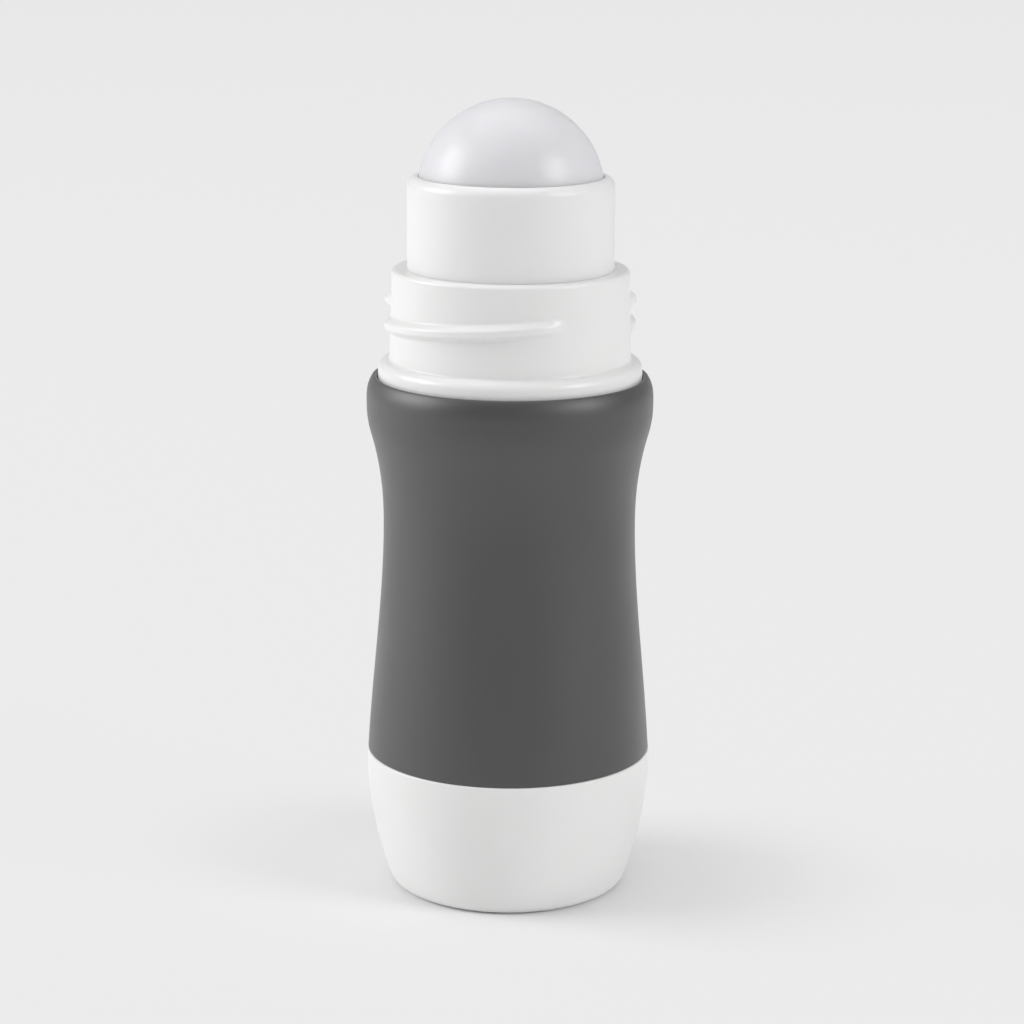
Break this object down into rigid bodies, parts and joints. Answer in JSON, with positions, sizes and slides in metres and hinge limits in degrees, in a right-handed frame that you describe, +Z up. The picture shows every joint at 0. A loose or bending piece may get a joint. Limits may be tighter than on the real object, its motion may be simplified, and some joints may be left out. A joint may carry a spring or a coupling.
{
  "type": "roll on bottle",
  "caption": "Waisted roll-on bottle with a soft grip sleeve, a threaded neck and a pull-out housing that carries a free-turning applicator ball.",
  "frame": {"origin": "centre of the foot, on the surface that the bottle stands on", "axes": "+Z up along the bottle's axis, -Y towards the side that the picture shows"},
  "size_m": [0.0398, 0.0396, 0.1103],
  "materials": {
    "bottle_white": "white polyethylene, moulded with a soft gloss",
    "sleeve_grey": "dark grey thermoplastic elastomer, fine matt soft-touch skin",
    "housing_white": "white polypropylene, satin",
    "ball_frosted": "ground translucent polypropylene, frosted with a faint lilac cast"
  },
  "bodies": {
    "bottle": {"bottle": "bottle_white", "grip_sleeve": "sleeve_grey"},
    "housing": {"ball_housing": "housing_white"},
    "ball": {"roller_ball": "ball_frosted"}
  },
  "joints": [
    {"name": "housing_pull", "type": "slide", "parent": "bottle", "child": "housing", "axis": [0, 0, 1], "range_m": [0, 0.016]},
    {"name": "ball_roll", "type": "hinge", "parent": "housing", "child": "ball", "pos_m": [0, 0, 0.0976], "axis": [1, 0, 0], "continuous": true}
  ]
}
